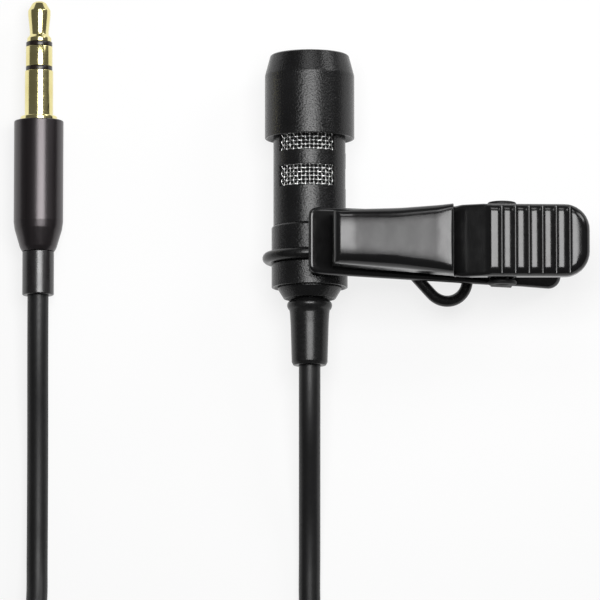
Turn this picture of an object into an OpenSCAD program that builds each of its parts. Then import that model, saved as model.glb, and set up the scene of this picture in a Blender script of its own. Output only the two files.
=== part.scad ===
// Lavalier microphone with its lapel clip, cord and 3.5 mm plug, lying on a flat surface.
// +Z is up. The capsule points along +Y and the clip reaches along +X.
// The origin is on the surface, under the middle of the microphone and its clip.

/* [Microphone] */
// Length from the front of the cap to the end of the cable boot
mic_len = 38.5; // [38.5:0.5:44]
// Radius of the tube that carries the sound windows
tube_r = 4.45; // [4.2:0.05:5.6]
// Wall of the tube
tube_wall = 0.6; // [0.4:0.05:0.8]
// Radius of the collar that the clip's ring turns on
collar_r = 4.67; // [4.6:0.01:5.8]
// Length of the collar
collar_len = 7.6; // [7:0.1:9.5]
// Radius of the collar's bore
collar_bore_r = 3.2; // [2.9:0.05:3.4]
// Height of one sound window
window_h = 2.6; // [1.6:0.1:3.2]
// Solid band between the two rows of windows
window_band = 1.82; // [1:0.02:2.5]
// Angle that one window spans
window_angle = 102; // [60:1:110]
// Thickness of the woven grille
grille_t = 0.25; // [0.2:0.05:0.4]
// Radius of the capsule's can
capsule_r = 3; // [2:0.1:3.2]
// Length of the capsule's can
capsule_len = 2.6; // [1.5:0.1:2.8]

/* [Cap] */
// Length of the cap
cap_len = 10.65; // [9:0.05:12]
// Thickness of the cap's side wall
cap_wall = 1; // [0.8:0.05:1.5]
// Thickness of the cap's front
cap_front = 1.2; // [0.8:0.1:1.5]
// Length of the taper at the cap's front
cap_taper_len = 2.6; // [1.5:0.1:4]
// How far the taper draws the radius in
cap_taper_in = 0.65; // [0.2:0.05:0.7]

/* [Clip] */
// Distance from the microphone's axis to the end of the ribbed thumb pad
clip_reach = 34.16; // [33:0.01:42]
// Thickness of the base lever
base_t = 0.8; // [0.6:0.05:1.2]
// Angle at which the base lever slopes down from the ring
base_slope = 19; // [18:0.5:20]
// Half of the base lever's width at its nose
base_nose_w = 4.05; // [3.8:0.05:5]
// Half of the base lever's width past its middle
base_w = 4.45; // [4.3:0.05:5.4]
// Distance from the microphone's axis to the base lever's end
base_reach = 31; // [30:0.1:32.5]
// Wall of the upper lever
lever_t = 0.8; // [0.6:0.05:1]
// Height of the upper lever's highest edge above the surface
lever_top = 16.8; // [15.5:0.1:18]
// Half of the upper lever's width at its jaw
jaw_w = 3.25; // [2.8:0.05:3.8]
// Half of the thumb pad's width
pad_w = 4.33; // [4.1:0.01:5.2]
// Number of grooves in the thumb pad
pad_grooves = 6; // [3:1:6]
// Distance from one groove to the next
groove_pitch = 1.66; // [1.3:0.02:1.7]
// Radius of the hinge pin
pin_r = 0.8; // [0.5:0.05:1]
// Diameter of the wire in the ring and the cable loop
wire_d = 1.4; // [1:0.1:1.6]
// Bend radius of the cable loop, at the middle of its wire
loop_r = 2.75; // [2.2:0.05:3.3]

/* [Plug] */
// Radius of the plug's sleeve contact
sleeve_r = 1.75; // [1.75]
// Length from the tip to the flange
contact_len = 14.2; // [14.2]
// Radius of the plug's housing
housing_r = 3.05; // [2.8:0.05:4]
// Length of the straight part of the housing
housing_len = 12.6; // [11:0.1:18]
// Radius of the sleeve where the cord enters the housing
neck_r = 1.95; // [1.9:0.05:2.4]
// Length of that sleeve
neck_len = 5.4; // [3:0.1:8]

/* [Cord] */
// Diameter of the cord
cord_d = 2.65; // [2:0.05:2.7]
// Loops in the coil
coil_turns = 10.5; // [8.5:1:12.5]
// Radius of the coil's outermost loop, at the middle of the cord
coil_outer_r = 20.4; // [18:0.1:22]

/* [Hidden] */
$fn = 48;

// Clearances
slide_gap = 0.05;    // between a piece and one that slides or turns on it
seat_gap = 0.02;     // between pieces that are pressed or glued together
free_gap = 0.3;      // between pieces that only lie next to each other
tooth_gap = 0.15;    // between the closed jaws
ear_gap = 0.22;      // between the thumb pad and the ears that hold the pin
cut = 1;             // how far a cutting tool runs past the face that it cuts

// Microphone, in distances from the front of its cap
collar_end = mic_len - 9.6;
collar_start = collar_end - collar_len;
ring_at = collar_end - 3.63;
tube_start = cap_front + free_gap;
tube_in_r = tube_r - tube_wall;
cap_in_r = tube_r + slide_gap;
cap_r = cap_in_r + cap_wall;
cap_edge = 0.5;
wire_r = wire_d / 2;
groove_floor_r = collar_r - 0.32;
groove_w = wire_d + 2 * slide_gap;
ring_mid_r = groove_floor_r + slide_gap + wire_r;
ring_out_r = ring_mid_r + wire_r;
window_end = collar_start - 4.6;
window_first = 97;   // direction of the first window's middle, with +X as 0 and +Z as 90
windows = 3;
window_rows = 2;
spigot_len = 1.25;
spigot_start = collar_start - spigot_len;
sleeve_end = spigot_start - seat_gap;
felt_t = 0.3;
capsule_end = sleeve_end - seat_gap;
capsule_start = capsule_end - capsule_len;
felt_start = capsule_start - felt_t;
grille_start = tube_start + 0.5;
grille_end = felt_start - seat_gap;
board_t = 0.8;
board_start = spigot_start + free_gap;
board_r = collar_bore_r - slide_gap;
lead_r = 0.35;
lead_x = 0.7;
cord_r = cord_d / 2;
cord_hole_r = cord_r + seat_gap;
cable_start = board_start + 5.2;
crimp_r = cord_hole_r + 0.75;
rear_start = collar_end - 1.5;
rear_nose = collar_end + 0.12;
rear_end = collar_end + 1.43;
crimp_end = rear_start + 1.1;
crimp_len = 2.3;
boot_plug_r = cord_hole_r + 0.55;
mic_z = ring_out_r;
mic_x = (ring_out_r - clip_reach) / 2;
mic_y = mic_len / 2;

// Clip, in distances from the microphone's axis along X
clip_y = mic_y - (ring_at - 1.34);
nose_x = -0.4;
jaw_x = 2.75;
brow_x = jaw_x + 1;
face_end_x = 17.2;
face_drop = 2.2;
dip_x = 19.4;
pad_x = 21.9;
hinge_x = 23.53;
hinge_z = 9.3;
rim_z = 11.3;
pad_top = hinge_z + 4.3;
pad_end_drop = 0.5;
pad_corner = 3.1;
pad_roof = 1.2;
groove_x = 23.4;
groove_r = 0.38;
groove_depth = 0.5;
ear_r = 1.85;
ear_t = 0.55;
ear_in = pad_w + ear_gap;
ear_out = ear_in + ear_t;
ear_hole_r = pin_r + seat_gap;
pin_head_r = pin_r + 0.35;
pin_head_t = 0.3;
lug_r = 1.6;
lug_out = pad_w - 0.13;
lug_t = 0.7;
lug_hole_r = pin_r + slide_gap;
base_bend_x = hinge_x + ear_r + 0.45;
base_corner = 2.6;
jaw_teeth = 6;
tooth_h = 0.6;
spring_wire_r = 0.25;
spring_in_r = pin_r + 0.2;
spring_r = spring_in_r + 4 * spring_wire_r;
spring_w = 4;
spring_arm_x = dip_x - 0.6;
loop_x = 17;
loop_y = -3.84;
loop_lead = 7;
loop_tail = 3.3;
loop_tip = 0.3;
loop_step = 0.03;
ring_foot = 6;

function base_under(x) =
    mic_z + (ring_out_r + seat_gap) / cos(base_slope) - x * tan(base_slope);
function base_over(x) = base_under(x) + base_t / cos(base_slope);
base_end_slope = atan(base_under(base_bend_x) / (base_reach - base_bend_x));
function face_z(x) = lever_top - face_drop * (x - brow_x) / (face_end_x - brow_x);

// Plug, in distances from its tip
plug_x = -47.6;
plug_tip_y = 26.25;
plug_z = housing_r;
tip_head_r = 1.4;
tip_waist_r = 1.17;
tip_flare_r = 1.5;
tip_end = 4.9;
tip_rod_r = 0.4;
band_w = 0.55;       // width of one insulating band
ring_w = 2.5;
ring_start = tip_end + band_w;
ring_end = ring_start + ring_w;
sleeve_start = ring_end + band_w;
contact_r = sleeve_r - 0.1;
contact_taper = 0.01;
layer_t = 0.28;      // wall of each tube nested inside the plug
flange_w = 0.55;
flange_r = 2.27;
housing_start = contact_len + flange_w;
housing_wall = 0.65;
shoulder_start = housing_start + housing_len;
taper_len = 3.7;
neck_start = shoulder_start + taper_len;
plug_len = neck_start + neck_len;
plug_cable_start = housing_start + 9;
plug_crimp_start = plug_cable_start + 0.3;
plug_crimp_len = 3;
plug_crimp_t = 0.4;
plug_lead_r = 0.3;
plug_lead_x = tip_rod_r + plug_lead_r + 0.05;
function nest_in(k) = tip_rod_r + k * (layer_t + seat_gap) + seat_gap;
function nest_end(k) = housing_start + 4.5 - k;

// Coil and the route of the cord
coil_x = -30.9;
coil_y = -74;
coil_z = 1.4;
coil_layers = 4;
coil_pitch = 3.1;
rings_per_turn = 24;
coil_sides = 6;
cord_sides = 8;
climb_turns = 0.5;
exit_run = 2.75;     // how far the cord runs straight on behind the microphone
coil_start_x = coil_x + coil_outer_r;
coil_end_x = coil_x - coil_outer_r;
coil_top_z = coil_z + (coil_layers - 1) * coil_pitch;
coil_lead_y = coil_y + cord_d;
mic_run = [
    [mic_x, -mic_y, mic_z], [mic_x, -mic_y - exit_run, mic_z], [mic_x, -27, 5.2], [mic_x, -32, 3.7],
    [mic_x, -37, 2.2], [mic_x, -42, 1.5], [mic_x, -48, coil_z], [-13.9, -54, coil_z],
    [-12.4, -60, coil_z], [-10.9, -66, coil_z], [coil_start_x, -69.5, coil_z],
    [coil_start_x, coil_lead_y, coil_z]
];
plug_run = [
    [plug_x, plug_tip_y - plug_len, plug_z], [plug_x, -14, plug_z], [plug_x, -20, 2.6],
    [plug_x, -26, 1.8], [plug_x, -32, coil_z], [plug_x, -38, coil_z], [plug_x, -43, 1.6],
    [plug_x, -48, 2.7], [-48, -53, 4.9], [-49.2, -58, 7.5], [-50.6, -63, 9.7],
    [coil_end_x, -67.5, coil_top_z], [coil_end_x, coil_lead_y, coil_top_z]
];

// Which layer a loop is in, as a number that climbs by one around each reversal
layer_turns = coil_turns / coil_layers;
function climb(turn, change) =
    min(1, max(0, (turn - change * layer_turns) / climb_turns + 0.5));
function coil_layer(turn) =
    climb(turn, 1) + climb(turn, 2) + climb(turn, 3);
// Distance in from the outermost loop, in loops
function coil_in(turn) =
    let (part = turn % (2 * layer_turns))
    part < layer_turns ? part : 2 * layer_turns - part;
function coil_point(turn) =
    let (r = coil_outer_r - coil_pitch * coil_in(turn))
    [
        coil_x + r * cos(360 * turn), coil_y - r * sin(360 * turn),
        coil_z + coil_pitch * coil_layer(turn)
    ];
coil_steps = coil_turns * rings_per_turn;
coil_route = concat(
    [[coil_start_x, coil_lead_y, coil_z]],
    [for (i = [0 : coil_steps]) coil_point(i / rings_per_turn)],
    [[coil_end_x, coil_lead_y, coil_top_z]]
);

function unit(v) = v / norm(v);
function heading(route, i) =
    let (last = len(route) - 1)
    unit(route[min(i + 1, last)] - route[max(i - 1, 0)]);
function ring_points(route, i, r, sides) =
    let (
        along = heading(route, i),
        side = unit(cross(along, [0, 0, 1])),
        up = cross(side, along)
    )
    [for (k = [0 : sides - 1])
        let (a = 360 * (k + 0.5) / sides)
        route[i] + r * (cos(a) * side + sin(a) * up)];
function route_len(route) =
    [for (i = 1, d = norm(route[1] - route[0]); i < len(route);
        i = i + 1, d = i < len(route) ? d + norm(route[i] - route[i - 1]) : d) d][len(route) - 2];

// Least distance from the coil's surface to itself, on its ring centres half a loop or more apart
coil_gap = min([
    for (i = [0 : 2 : coil_steps], j = [i + rings_per_turn / 2 : coil_steps])
        norm(coil_point(i / rings_per_turn) - coil_point(j / rings_per_turn))
]) - cord_d;

module mic_frame() { translate([mic_x, mic_y, mic_z]) rotate([90, 0, 0]) children(); }
module plug_frame() { translate([plug_x, plug_tip_y, plug_z]) rotate([90, 0, 0]) children(); }
// Turns a side view drawn in X and Z into a slab from y0 to y1, measured from the clip's middle
module clip_side(y0, y1) {
    translate([mic_x, clip_y + y1, 0]) rotate([90, 0, 0]) linear_extrude(y1 - y0) children();
}
// Turns a top view drawn in X and Y into a block that is taller than the clip
module clip_plan() {
    translate([mic_x, clip_y, -cut]) linear_extrude(lever_top + 2 * cut) children();
}
// Lies in the base lever's underside: X runs down the slope and Z is its normal
module base_frame() {
    translate([mic_x, clip_y, base_under(0)]) rotate([0, base_slope, 0]) children();
}
module tube(z0, z1, r_in, r_out) {
    translate([0, 0, z0]) difference() {
        cylinder(r = r_out, h = z1 - z0);
        translate([0, 0, -cut]) cylinder(r = r_in, h = z1 - z0 + 2 * cut);
    }
}
module sweep(route, r, sides) {
    rings = len(route);
    points = [for (i = [0 : rings - 1]) each ring_points(route, i, r, sides)];
    first_end = [for (k = [1 : sides - 2]) [0, k + 1, k]];
    last = (rings - 1) * sides;
    last_end = [for (k = [1 : sides - 2]) [last, last + k, last + k + 1]];
    walls = [for (i = [0 : rings - 2], k = [0 : sides - 1])
        let (a = i * sides + k, b = i * sides + (k + 1) % sides)
        each [[a, b, b + sides], [a, b + sides, a + sides]]];
    polyhedron(points = points, faces = concat(first_end, last_end, walls));
}

// Microphone
module cap() {
    color("#1c1c1e") mic_frame() difference() {
        rotate_extrude() polygon([
            [0, 0], [cap_r - cap_taper_in - cap_edge, 0],
            [cap_r - cap_taper_in - 0.15, 0.15], [cap_r - cap_taper_in, cap_edge],
            [cap_r, cap_taper_len], [cap_r, cap_len - cap_edge / 2],
            [cap_r - cap_edge / 2, cap_len], [0, cap_len]
        ]);
        translate([0, 0, cap_front]) cylinder(r = cap_in_r, h = cap_len);
    }
}
module body_tube() {
    color("#1c1c1e") mic_frame() difference() {
        tube(tube_start, collar_start, tube_in_r, tube_r);
        for (row = [0 : window_rows - 1], i = [0 : windows - 1])
            translate([0, 0, window_end - window_h - row * (window_h + window_band)])
                rotate([0, 0, window_first + i * 360 / windows - window_angle / 2])
                    rotate_extrude(angle = window_angle)
                        translate([tube_in_r - cut, 0]) square([tube_wall + 2 * cut, window_h]);
    }
}
module grille_mesh() {
    color("#c8c8c8") mic_frame() {
        r = tube_in_r - slide_gap;
        tube(grille_start, grille_end, r - grille_t, r);
        translate([0, 0, grille_start]) cylinder(r = r - grille_t, h = grille_t);
    }
}
module capsule_sleeve() {
    color("#303030") mic_frame()
        tube(felt_start, sleeve_end, capsule_r + seat_gap, tube_in_r - seat_gap);
}
module capsule_can() {
    color("#b8bcc0") mic_frame()
        translate([0, 0, capsule_start]) cylinder(r = capsule_r, h = capsule_len);
}
module capsule_felt() {
    color("#101010") mic_frame()
        translate([0, 0, felt_start]) cylinder(r = capsule_r - 0.1, h = felt_t - seat_gap);
}
module circuit_board() {
    color("#1f6b3a") mic_frame() translate([0, 0, board_start]) difference() {
        cylinder(r = board_r, h = board_t);
        for (side = [-1, 1]) translate([side * lead_x, 0, -cut])
            cylinder(r = lead_r + seat_gap, h = board_t + 2 * cut);
    }
}
module lead_wires() {
    color("#b03030") mic_frame() for (side = [-1, 1])
        translate([side * lead_x, 0, capsule_end + seat_gap])
            cylinder(r = lead_r, h = cable_start - capsule_end - 2 * seat_gap);
}
module collar() {
    color("#1c1c1e") mic_frame() difference() {
        union() {
            translate([0, 0, spigot_start]) cylinder(r = tube_in_r - seat_gap, h = spigot_len + cut);
            rotate_extrude() polygon([
                [0, collar_start], [collar_r - 0.25, collar_start], [collar_r, collar_start + 0.3],
                [collar_r, ring_at - groove_w / 2], [groove_floor_r, ring_at - groove_w / 2],
                [groove_floor_r, ring_at + groove_w / 2], [collar_r, ring_at + groove_w / 2],
                [collar_r, collar_end - 0.15], [collar_r - 0.15, collar_end], [0, collar_end]
            ]);
        }
        translate([0, 0, spigot_start - cut])
            cylinder(r = collar_bore_r, h = collar_end - spigot_start + 2 * cut);
    }
}
module rear_cap() {
    color("#1c1c1e") mic_frame() difference() {
        union() {
            translate([0, 0, rear_start])
                cylinder(r = collar_bore_r - seat_gap, h = rear_nose - rear_start);
            rotate_extrude() polygon([
                [0, collar_end + seat_gap], [collar_r - 0.77, collar_end + seat_gap],
                [collar_r - 0.77, rear_nose], [collar_bore_r - 0.05, rear_end], [0, rear_end]
            ]);
        }
        translate([0, 0, rear_start - cut])
            cylinder(r = crimp_r + seat_gap, h = crimp_end - rear_start + cut + seat_gap);
        translate([0, 0, rear_start]) cylinder(r = boot_plug_r + seat_gap, h = mic_len);
    }
}
module cable_crimp() {
    color("#b8bcc0") mic_frame() tube(crimp_end - crimp_len, crimp_end, cord_hole_r, crimp_r);
}
module mic_cable_end() {
    color("#161616") mic_frame()
        translate([0, 0, cable_start]) cylinder(r = cord_r, h = mic_len - cable_start);
}
module cable_boot() {
    color("#2a2a2c") mic_frame() difference() {
        union() {
            translate([0, 0, crimp_end + 2 * seat_gap])
                cylinder(r = boot_plug_r, h = rear_end - crimp_end);
            rotate_extrude() polygon(concat(
                [[0, rear_end + seat_gap], [2.45, rear_end + seat_gap]],
                [for (a = [-50 : 20 : 90])
                    [1.95 + 0.82 * cos(a), rear_end + 0.72 + 0.6 * sin(a) * (a < 0 ? 1 : 1.4)]],
                [[2.38, mic_len - 6.3], [2.21, mic_len - 0.3], [2, mic_len], [0, mic_len]]
            ));
        }
        translate([0, 0, crimp_end - cut]) cylinder(r = cord_hole_r, h = mic_len);
    }
}

// Clip
module base_outline() {
    hull() {
        for (side = [-1, 1]) translate([nose_x + 0.8, side * (base_nose_w - 0.8)]) circle(0.8);
        translate([hinge_x - ear_r, -base_w]) square([0.1, 2 * base_w]);
    }
    hull() {
        translate([hinge_x - ear_r, -base_w]) square([0.1, 2 * base_w]);
        for (side = [-1, 1]) translate([base_reach - base_corner, side * (base_w - base_corner)])
            circle(base_corner);
    }
    translate([hinge_x - ear_r, -ear_out]) square([2 * ear_r, 2 * ear_out]);
}
module clip_base() {
    color("#18181a") difference() {
        union() {
            intersection() {
                clip_side(-ear_out - cut, ear_out + cut) polygon([
                    [nose_x, base_under(nose_x)], [base_bend_x, base_under(base_bend_x)],
                    [base_reach, 0], [base_reach, base_t / cos(base_end_slope)],
                    [base_bend_x, base_over(base_bend_x)], [nose_x + 0.6, base_over(nose_x + 0.6)],
                    [nose_x + 0.15, base_over(nose_x) - 0.15], [nose_x, base_under(nose_x) + 0.25]
                ]);
                clip_plan() base_outline();
            }
            for (side = [-1, 1])
                clip_side(min(side * ear_in, side * ear_out), max(side * ear_in, side * ear_out)) {
                    translate([hinge_x, hinge_z]) circle(ear_r);
                    polygon([
                        [hinge_x - ear_r, base_under(hinge_x - ear_r)], [hinge_x - ear_r, hinge_z],
                        [hinge_x + ear_r, hinge_z], [hinge_x + ear_r, base_under(hinge_x + ear_r)]
                    ]);
                }
        }
        clip_side(-ear_out - cut, ear_out + cut)
            translate([hinge_x, hinge_z]) circle(ear_hole_r);
    }
}
module lever_outline(inset) {
    end_x = clip_reach - inset;
    polygon(concat(
        [
            [end_x - pad_corner, inset - pad_w], [pad_x, inset - pad_w],
            [dip_x, inset - pad_w + 0.08], [brow_x + 7.5, inset - jaw_w - 0.45],
            [jaw_x + inset * 1.2, inset - jaw_w], [jaw_x + inset * 1.2, jaw_w - inset],
            [brow_x + 7.5, jaw_w + 0.45 - inset], [dip_x, pad_w - 0.08 - inset],
            [pad_x, pad_w - inset]
        ],
        [for (a = [90 : -15 : 0])
            [end_x - pad_corner + pad_corner * cos(a), pad_w - inset - pad_corner * (1 - sin(a))]],
        [for (a = [0 : 15 : 75])
            [end_x - pad_corner + pad_corner * cos(a), -pad_w + inset + pad_corner * (1 - sin(a))]]
    ));
}
module clip_lever() {
    color("#18181a") difference() {
        union() {
            difference() {
                intersection() {
                    clip_side(-pad_w - cut, pad_w + cut) polygon([
                        [jaw_x, base_over(jaw_x) + tooth_gap], [brow_x, lever_top - 0.5],
                        [brow_x + 0.3, lever_top - 0.1], [brow_x + 0.8, face_z(brow_x + 0.8)],
                        [face_end_x - 0.8, face_z(face_end_x - 0.8)],
                        [face_end_x, face_z(face_end_x) - 0.3], [dip_x, pad_top - 1.2],
                        [pad_x - 0.6, pad_top - 0.5], [pad_x, pad_top],
                        [clip_reach - 0.5, pad_top - pad_end_drop],
                        [clip_reach, pad_top - pad_end_drop - 0.5], [clip_reach, rim_z],
                        [jaw_x + 2, rim_z], [jaw_x + 1.4, base_over(jaw_x + 1.4) + tooth_gap]
                    ]);
                    clip_plan() lever_outline(0);
                }
                intersection() {
                    clip_side(-pad_w - cut, pad_w + cut) polygon([
                        [jaw_x + lever_t, rim_z - cut], [brow_x + lever_t, lever_top - lever_t - 0.4],
                        [face_end_x - 0.6, face_z(face_end_x) - lever_t],
                        [dip_x - 0.4, pad_top - 1.2 - lever_t], [pad_x - 0.6, pad_top - pad_roof],
                        [clip_reach, pad_top - pad_roof - pad_end_drop], [clip_reach, rim_z - cut]
                    ]);
                    clip_plan() lever_outline(lever_t);
                }
            }
            for (side = [-1, 1])
                clip_side(side > 0 ? lug_out - lug_t : -lug_out, side > 0 ? lug_out : lug_t - lug_out) {
                    translate([hinge_x, hinge_z]) circle(lug_r);
                    translate([hinge_x - lug_r, hinge_z])
                        square([2 * lug_r, pad_top - pad_roof / 2 - hinge_z]);
                }
        }
        clip_side(-pad_w - cut, pad_w + cut)
            translate([hinge_x, hinge_z]) circle(lug_hole_r);
        for (i = [0 : pad_grooves - 1])
            clip_side(-pad_w - cut, pad_w + cut)
                translate([groove_x + i * groove_pitch, pad_top - pad_end_drop * i / pad_grooves])
                    scale([1, groove_depth / groove_r]) circle(r = groove_r, $fn = 12);
        for (i = [0 : jaw_teeth - 1])
            translate([
                mic_x + jaw_x - cut, clip_y + (i - (jaw_teeth - 1) / 2) * 2 * jaw_w / (jaw_teeth + 0.5),
                base_over(jaw_x) + tooth_gap
            ])
                rotate([90, 0, 90]) linear_extrude(lever_t + cut + 0.3)
                    polygon([[-0.3, -cut], [-0.3, 0], [0, tooth_h], [0.3, 0], [0.3, -cut]]);
    }
}
module hinge_pin() {
    color("#9a9ca0") {
        clip_side(-ear_out - pin_head_t, ear_out + pin_head_t)
            translate([hinge_x, hinge_z]) circle(pin_r);
        for (side = [-1, 1])
            clip_side(side > 0 ? ear_out + seat_gap / 2 : -ear_out - pin_head_t,
                side > 0 ? ear_out + pin_head_t : -ear_out - seat_gap / 2)
                translate([hinge_x, hinge_z]) circle(pin_head_r);
    }
}
module spring_arm(y, from_z, to_z) {
    run = spring_arm_x - hinge_x;
    translate([mic_x + hinge_x, clip_y + y, from_z])
        rotate([0, atan2(run, to_z - from_z), 0])
            cylinder(r = spring_wire_r, h = norm([run, to_z - from_z]));
}
module torsion_spring() {
    color("#a8aab0") {
        clip_side(-spring_w / 2, spring_w / 2) difference() {
            translate([hinge_x, hinge_z]) circle(spring_r);
            translate([hinge_x, hinge_z]) circle(spring_in_r);
        }
        spring_arm(spring_w / 2 - 0.3, hinge_z + spring_r - spring_wire_r,
            pad_top - 1.2 - lever_t - 0.35);
        spring_arm(0.3 - spring_w / 2, hinge_z - spring_r + spring_wire_r,
            base_over(spring_arm_x) + spring_wire_r + 0.1);
    }
}
module mic_ring() {
    lift = 90 - base_slope;
    color("#1e1e20") mic_frame() translate([0, 0, ring_at]) rotate([0, 0, lift]) {
        rotate_extrude(angle = 309) translate([ring_mid_r, 0]) circle(wire_r);
        translate([ring_mid_r, 0, 0]) rotate([90, 0, 0]) cylinder(r = wire_r, h = ring_foot);
    }
}
module cable_loop() {
    color("#1e1e20") base_frame() translate([loop_x / cos(base_slope), loop_y, -wire_r]) {
        rotate([0, 0, -135]) rotate_extrude(angle = 135) translate([loop_r, 0]) circle(wire_r);
        translate([loop_r, 0, 0]) rotate([-90, 0, 0])
            cylinder(r = wire_r - loop_step, h = loop_tail);
        rotate([0, 0, -135]) translate([loop_r, 0, 0]) rotate([90, 0, 0])
            cylinder(r = wire_r, h = loop_lead);
        rotate([0, 0, -135]) translate([loop_r, -loop_lead, 0]) rotate([90, 0, 0])
            cylinder(r1 = wire_r, r2 = wire_r - loop_tip, h = loop_tip);
        translate([loop_r, loop_tail, 0]) rotate([-90, 0, 0])
            cylinder(r1 = wire_r - loop_step, r2 = wire_r - loop_tip, h = loop_tip);
    }
}

// Plug
module plug_tip() {
    color("#d8c878") plug_frame() {
        rotate_extrude() polygon([
            [0, 0], [0.45, 0], [0.8, 0.2], [1.15, 0.55], [tip_head_r, 1.07], [tip_head_r - 0.02, 1.5],
            [tip_waist_r, 3.6], [tip_waist_r, 4], [tip_flare_r, 4.35], [tip_flare_r, tip_end],
            [0, tip_end]
        ]);
        cylinder(r = tip_rod_r, h = nest_end(-1));
    }
}
// A band that tapers a little towards the sleeve, with the thin tube that carries it on inside
module nested(z0, z1, k) {
    difference() {
        rotate_extrude() polygon([
            [0, z0], [contact_r, z0], [contact_r - contact_taper, z1], [0, z1]
        ]);
        translate([0, 0, z0 - cut]) cylinder(r = nest_in(k), h = z1 - z0 + 2 * cut);
    }
    tube(z1 - seat_gap, nest_end(k), nest_in(k), nest_in(k) + layer_t);
}
module plug_insulator_front() {
    color("#14100c") plug_frame() nested(tip_end + seat_gap, ring_start, 0);
}
module plug_ring() {
    color("#d8c878") plug_frame() nested(ring_start + seat_gap, ring_end, 1);
}
module plug_insulator_rear() {
    color("#14100c") plug_frame() nested(ring_end + seat_gap, sleeve_start, 2);
}
module plug_sleeve() {
    color("#d8c878") plug_frame() {
        tube(sleeve_start + seat_gap, contact_len, nest_in(3), sleeve_r);
        tube(contact_len - seat_gap, housing_start, nest_in(3), flange_r);
        tube(housing_start - seat_gap, nest_end(3), nest_in(3), housing_r - housing_wall - slide_gap);
    }
}
module plug_leads() {
    color("#b87333") plug_frame() for (side = [-1, 1])
        translate([side * plug_lead_x, 0, nest_end(0) + seat_gap])
            cylinder(r = plug_lead_r, h = plug_cable_start - nest_end(0) - 2 * seat_gap);
}
module plug_housing() {
    bore_r = housing_r - housing_wall;
    color("#121012") plug_frame() difference() {
        rotate_extrude() polygon([
            [0, housing_start + seat_gap], [housing_r - 0.15, housing_start + seat_gap],
            [housing_r, housing_start + 0.2], [housing_r, shoulder_start],
            [housing_r - 0.12, shoulder_start + 0.9], [neck_r + 0.3, neck_start - 0.5],
            [neck_r, neck_start], [0, neck_start]
        ]);
        translate([0, 0, housing_start - cut]) cylinder(r = bore_r, h = housing_len + cut);
        translate([0, 0, shoulder_start - seat_gap])
            cylinder(r1 = bore_r, r2 = cord_hole_r, h = taper_len - 1);
        translate([0, 0, shoulder_start]) cylinder(r = cord_hole_r, h = taper_len + cut);
    }
}
module plug_neck() {
    color("#3a3638") plug_frame() tube(neck_start + seat_gap, plug_len, cord_hole_r, neck_r);
}
module plug_crimp() {
    color("#b8bcc0") plug_frame()
        tube(plug_crimp_start, plug_crimp_start + plug_crimp_len, cord_hole_r,
            cord_hole_r + plug_crimp_t);
}
module plug_cable_end() {
    color("#161616") plug_frame()
        translate([0, 0, plug_cable_start]) cylinder(r = cord_r, h = plug_len - plug_cable_start);
}

// Cord
module cord_mic_run() { color("#161616") sweep(mic_run, cord_r, cord_sides); }
module cord_coil() {
    echo(coil_gap = coil_gap, cord_length = route_len(mic_run) + route_len(coil_route)
        + route_len(plug_run));
    color("#161616") sweep(coil_route, cord_r, coil_sides);
}
module cord_plug_run() { color("#161616") sweep(plug_run, cord_r, cord_sides); }

cap();
body_tube();
grille_mesh();
collar();
rear_cap();
cable_boot();
capsule_can();
capsule_felt();
capsule_sleeve();
circuit_board();
lead_wires();
cable_crimp();
mic_cable_end();
clip_base();
clip_lever();
hinge_pin();
torsion_spring();
mic_ring();
cable_loop();
plug_tip();
plug_insulator_front();
plug_ring();
plug_insulator_rear();
plug_sleeve();
plug_leads();
plug_housing();
plug_neck();
plug_crimp();
plug_cable_end();
cord_mic_run();
cord_coil();
cord_plug_run();
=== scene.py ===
"""Looks of the lavalier microphone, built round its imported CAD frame.

Lengths are in millimetres until MM turns them into metres. Stations along the microphone
and the plug run from their front ends towards -Y. The clip's x runs from the microphone's
axis towards +X, and its y from the clip's middle line.
"""

import math

import bmesh
import bpy
import numpy as np
from mathutils import Matrix, Vector


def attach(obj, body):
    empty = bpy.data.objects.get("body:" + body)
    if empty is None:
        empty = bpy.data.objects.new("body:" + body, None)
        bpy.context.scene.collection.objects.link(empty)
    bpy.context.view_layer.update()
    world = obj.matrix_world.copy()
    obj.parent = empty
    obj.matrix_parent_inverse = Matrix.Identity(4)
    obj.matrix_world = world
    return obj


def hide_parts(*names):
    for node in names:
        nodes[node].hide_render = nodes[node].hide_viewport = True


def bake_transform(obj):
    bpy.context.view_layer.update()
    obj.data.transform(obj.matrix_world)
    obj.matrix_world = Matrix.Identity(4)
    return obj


MM = 0.001
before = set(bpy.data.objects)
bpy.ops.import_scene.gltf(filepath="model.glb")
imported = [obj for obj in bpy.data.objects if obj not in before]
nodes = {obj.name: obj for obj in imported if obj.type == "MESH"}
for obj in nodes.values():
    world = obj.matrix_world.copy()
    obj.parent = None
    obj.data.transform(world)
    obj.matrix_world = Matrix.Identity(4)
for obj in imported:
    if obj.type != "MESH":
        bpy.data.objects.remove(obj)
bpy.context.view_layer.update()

# ---------------------------------------------------------------- the frame's places
MIC = (-14.18, 19.25, 5.8)  # the microphone's front end, on its axis
MIC_X = MIC[0]
PLUG = (-47.6, 26.25, 3.05)  # the plug's front end, on its axis
CLIP_Y = -4.68
HINGE_X, HINGE_Z = 23.53, 9.3  # in the clip's x
SLOPE = math.radians(19)  # of the lower lever
BASE_HEIGHT, BASE_WALL = 11.955, 0.8  # the lower lever's underside at x = 0, and its thickness
WIRE_R = 0.7
CORD_D = 2.65


def base_under(x):
    """Height of the lower lever's underside on its slope."""
    return BASE_HEIGHT - x * math.tan(SLOPE)


def base_over(x):
    return base_under(x) + BASE_WALL / math.cos(SLOPE)


def linked(name, data):
    """A new object in the scene."""
    obj = bpy.data.objects.new(name, data)
    bpy.context.scene.collection.objects.link(obj)
    return obj


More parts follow.
